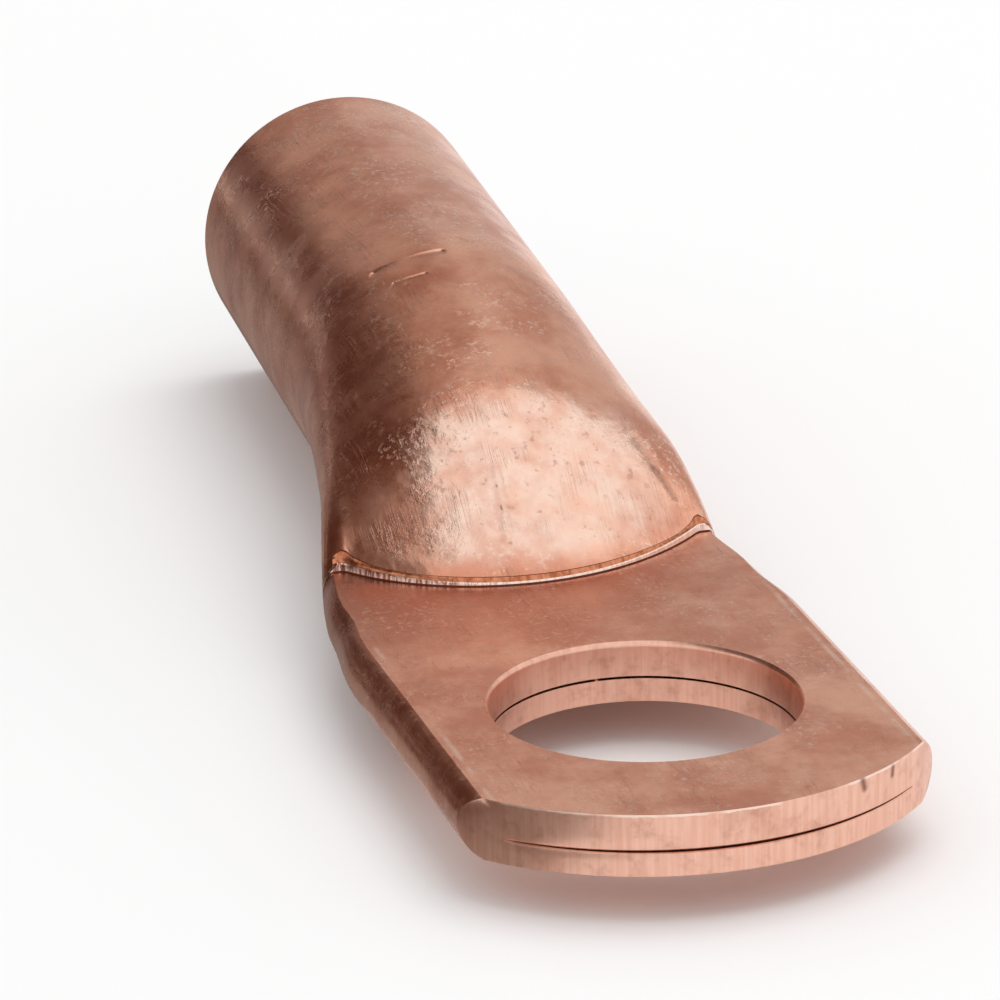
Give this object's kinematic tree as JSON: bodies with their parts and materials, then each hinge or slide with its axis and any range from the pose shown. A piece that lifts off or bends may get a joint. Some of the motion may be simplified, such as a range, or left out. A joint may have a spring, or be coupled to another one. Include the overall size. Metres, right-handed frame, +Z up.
{
  "type": "copper cable lug",
  "caption": "Tubular crimp lug: a round open barrel for a stripped conductor, pressed flat at one end into a rounded palm with a bolt hole.",
  "frame": {"origin": "centre of the bolt hole on the seating underside of the palm", "axes": "+X along the palm towards the barrel, +Z up off the seating face, along the bolt hole"},
  "size_m": [0.0565, 0.0164, 0.011],
  "materials": {
    "copper": "bare drawn copper, satin, pressed and sheared at the palm"
  },
  "bodies": {
    "root": {"cable_lug": "copper"}
  },
  "joints": []
}
